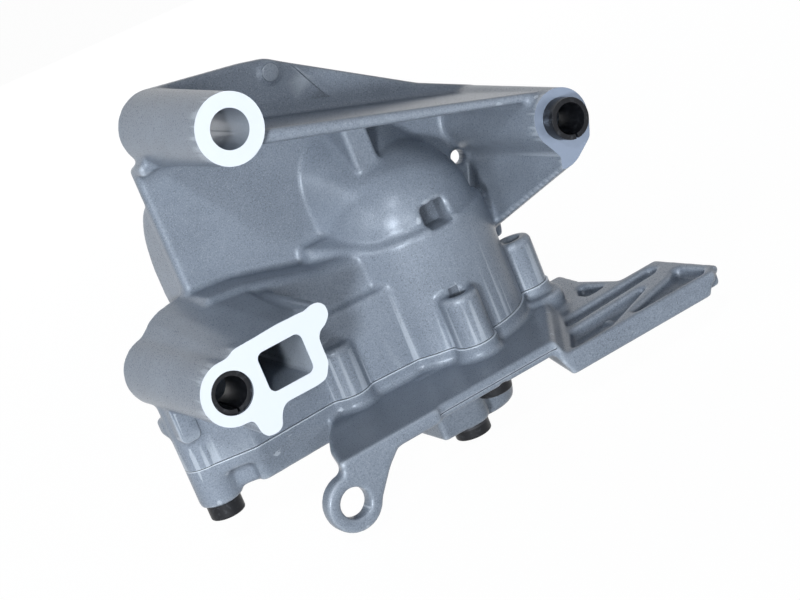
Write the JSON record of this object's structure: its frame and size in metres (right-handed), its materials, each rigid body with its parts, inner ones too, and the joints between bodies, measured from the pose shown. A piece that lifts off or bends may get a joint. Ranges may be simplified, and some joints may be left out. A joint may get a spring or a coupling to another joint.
{
  "type": "engine oil pump",
  "caption": "Gerotor engine oil pump: domed die-cast housing with long mounting bosses, cover with tray, wing and lug, keyed rotor set, relief valve.",
  "frame": {"origin": "centre of the drive bore's mouth, on the shaft's axis, in the end of the cover's hub", "axes": "+Z along the shaft from the drive end towards the dome, -Y towards the engine block's mounting faces, +X along the tray towards the wing"},
  "size_m": [0.1648, 0.0901, 0.132],
  "materials": {
    "cast_alloy": "sand-grained die casting",
    "black_steel": "black oxide",
    "ground_steel": "ground",
    "sintered_steel": "sintered and ground",
    "bearing_bronze": "machined",
    "spring_steel": "drawn wire",
    "washer_iron": "blackened soft iron",
    "seal_rubber": "matt"
  },
  "bodies": {
    "pump": {"housing": "cast_alloy", "cover": "cast_alloy", "cover_screws": "black_steel", "front_dowel": "ground_steel", "rear_dowel": "ground_steel", "left_sleeve": "black_steel", "right_sleeve": "black_steel", "upper_bush": "bearing_bronze", "lower_bush": "bearing_bronze", "relief_spring": "spring_steel", "relief_plug": "black_steel", "plug_washer": "washer_iron", "gallery_plug": "black_steel", "suction_seal": "seal_rubber"},
    "shaft": {"drive_shaft": "ground_steel", "rotor_key": "ground_steel", "inner_rotor": "sintered_steel", "upper_clip": "spring_steel", "lower_clip": "spring_steel"},
    "outer_ring": {"outer_rotor": "sintered_steel"},
    "relief_valve": {"relief_piston": "ground_steel"}
  },
  "joints": [
    {"name": "shaft_turn", "type": "hinge", "parent": "pump", "child": "shaft", "pos_m": [0, 0, 0], "axis": [0, 0, 1], "continuous": true},
    {"name": "outer_rotor_turn", "type": "hinge", "parent": "pump", "child": "outer_ring", "pos_m": [0, 0.0019, 0], "axis": [0, 0, 1], "continuous": true},
    {"name": "relief_slide", "type": "slide", "parent": "pump", "child": "relief_valve", "axis": [0, 0, -1], "range_m": [0, 0.003], "stiffness_N_per_m": 2500, "springref_m": -0.004, "deforming": ["relief_spring"]}
  ],
  "couplings": [
    {"joint": "outer_rotor_turn", "follows": "shaft_turn", "ratio": 0.85714}
  ]
}
